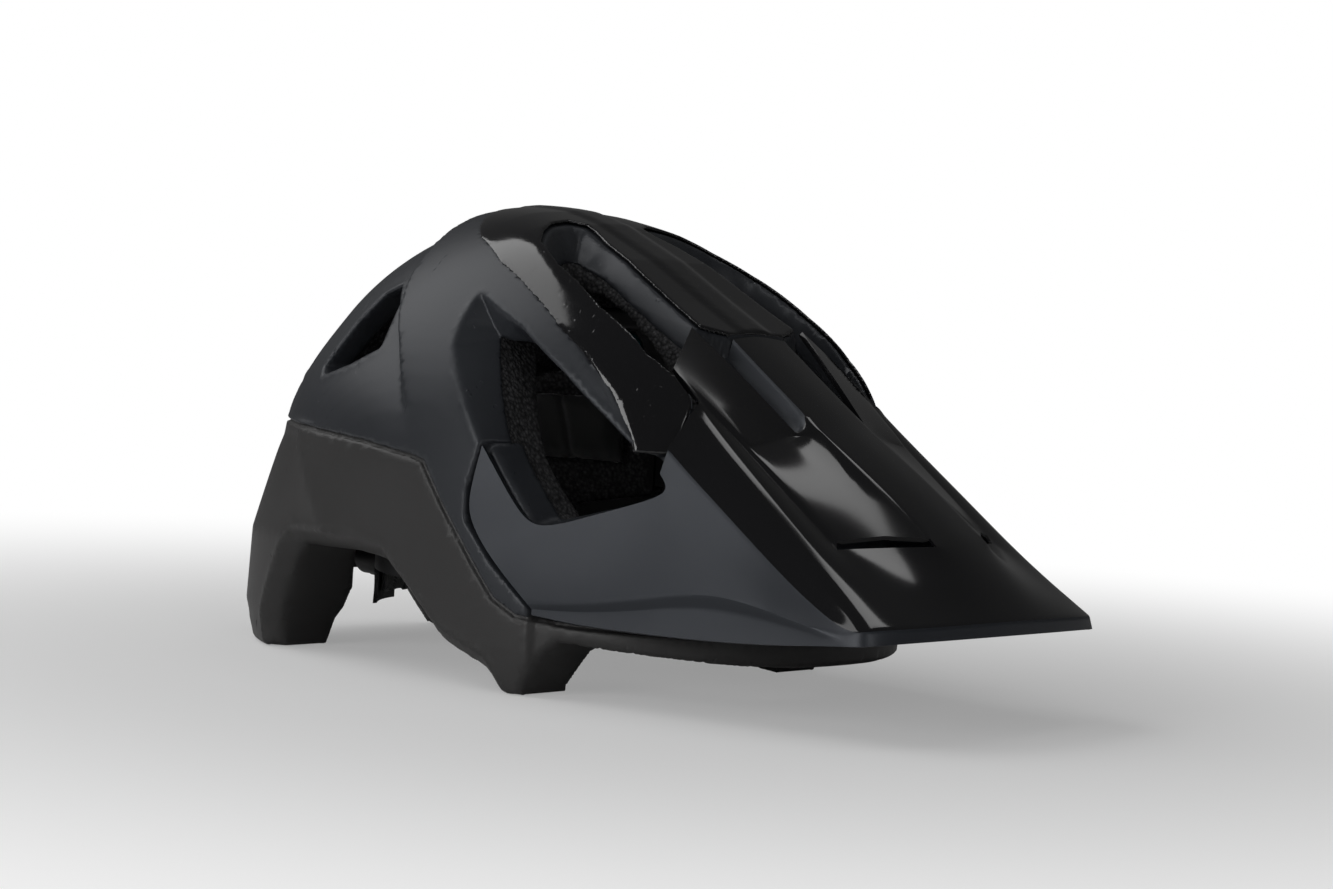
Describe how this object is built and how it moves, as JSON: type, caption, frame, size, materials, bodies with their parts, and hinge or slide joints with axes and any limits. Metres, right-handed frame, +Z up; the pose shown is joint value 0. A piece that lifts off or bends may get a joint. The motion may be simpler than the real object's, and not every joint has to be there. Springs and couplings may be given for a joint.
{
  "type": "cycling helmet",
  "caption": "Half-shell trail cycling helmet with tilting visor, foam liner, rear fit dial, pads and buckled straps.",
  "frame": {"origin": "centre of the helmet's plan box, on the surface it stands on", "axes": "-Y is the way the wearer faces, +Z up, +X the wearer's left"},
  "size_m": [0.2138, 0.3925, 0.2019],
  "materials": {
    "crown_satin": "satin",
    "lower_matte": "matte",
    "gloss_band": "gloss",
    "visor_satin": "satin",
    "foam": "beaded foam",
    "nylon": "matte",
    "knob_rubber": "matte",
    "steel": "turned",
    "webbing": "woven",
    "pad": "knitted",
    "damper": "matte"
  },
  "bodies": {
    "helmet": {"crown_shell": "crown_satin", "lower_shell": "lower_matte", "eps_liner": "foam", "spine_band": "gloss_band", "ridge_bands": "gloss_band", "pivot_bushings": "nylon", "height_rail": "nylon", "fit_band_left": "nylon", "fit_band_right": "nylon", "band_anchors": "nylon", "front_chin_web_left": "webbing", "front_chin_web_right": "webbing", "rear_web_left": "webbing", "rear_web_right": "webbing", "web_anchors": "nylon", "divider_base_left": "nylon", "divider_base_right": "nylon", "buckle_female": "nylon", "strap_keeper": "knob_rubber", "brow_pad": "pad", "crown_pad_front": "pad", "crown_pad_rear": "pad", "temple_pad_left": "pad", "temple_pad_right": "pad", "rear_pad_left": "pad", "rear_pad_right": "pad", "damper_discs": "damper"},
    "visor": {"visor_shell": "visor_satin", "visor_pin_left": "steel", "visor_pin_right": "steel"},
    "fit_slider": {"height_slider": "nylon"},
    "cradle": {"cradle_frame": "nylon", "cradle_pad": "pad", "dial_housing": "nylon"},
    "dial": {"dial_knob": "knob_rubber", "dial_pinion": "nylon", "dial_cap": "nylon"},
    "lever_left": {"divider_lever_left": "nylon"},
    "lever_right": {"divider_lever_right": "nylon"},
    "buckle_tongue": {"buckle_male": "nylon"}
  },
  "joints": [
    {"name": "visor_tilt", "type": "hinge", "parent": "helmet", "child": "visor", "pos_m": [0, -0.028, 0.045], "axis": [1, 0, 0], "range_deg": [0, 12]},
    {"name": "cradle_height", "type": "slide", "parent": "helmet", "child": "fit_slider", "axis": [0, 0, 1], "range_m": [-0.006, 0.006]},
    {"name": "cradle_tighten", "type": "slide", "parent": "fit_slider", "child": "cradle", "axis": [0, -1, 0], "range_m": [0, 0.008]},
    {"name": "dial_turn", "type": "hinge", "parent": "cradle", "child": "dial", "pos_m": [0, 0.152, 0.042], "axis": [0, 1, 0], "range_deg": [0, 200]},
    {"name": "lever_left_open", "type": "hinge", "parent": "helmet", "child": "lever_left", "pos_m": [0.072, 0.044, 0.091], "axis": [0, 1, 0], "range_deg": [0, 70]},
    {"name": "lever_right_open", "type": "hinge", "parent": "helmet", "child": "lever_right", "pos_m": [-0.072, 0.044, 0.091], "axis": [0, -1, 0], "range_deg": [0, 70]},
    {"name": "buckle_release", "type": "slide", "parent": "helmet", "child": "buckle_tongue", "axis": [-1, 0, 0], "range_m": [0, 0.012]}
  ]
}
